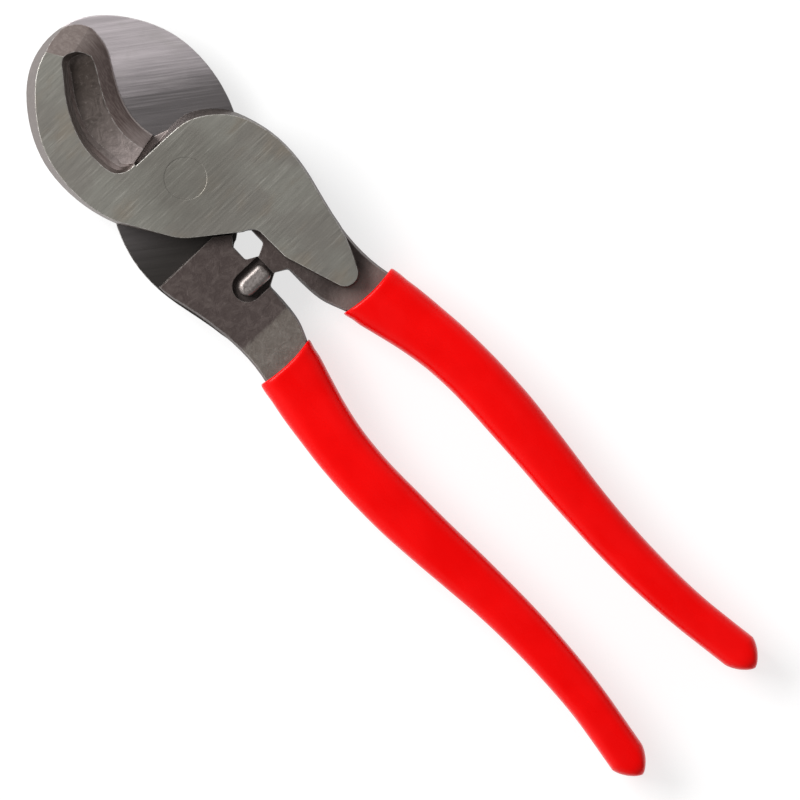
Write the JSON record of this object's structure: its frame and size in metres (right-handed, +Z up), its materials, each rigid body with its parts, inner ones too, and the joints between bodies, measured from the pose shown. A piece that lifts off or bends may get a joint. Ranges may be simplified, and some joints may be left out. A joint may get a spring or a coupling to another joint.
{
  "type": "cable cutter",
  "caption": "One-hand shear-type cable cutter with hooked jaws, a flush pivot rivet and dipped red handles, jaws closed",
  "frame": {"origin": "on the rivet's axis, in the plane of the flat face that the tool rests on", "axes": "+X from the rivet to the jaw tips, +Y to the side of the upper half's jaw, +Z up along the rivet"},
  "size_m": [0.2398, 0.052, 0.019],
  "materials": {
    "forged_steel": "drop-forged steel with dark scale, ground bright on the faces",
    "rivet_steel": "steel, ground flush with the head",
    "red_vinyl": "glossy dipped vinyl"
  },
  "bodies": {
    "lower": {"lower_half": "forged_steel", "pivot_rivet": "rivet_steel", "lower_grip": "red_vinyl"},
    "upper": {"upper_half": "forged_steel", "upper_grip": "red_vinyl"}
  },
  "joints": [
    {"name": "pivot", "type": "hinge", "parent": "lower", "child": "upper", "pos_m": [0, 0, 0.0095], "axis": [0, 0, 1], "range_deg": [0, 50]}
  ]
}
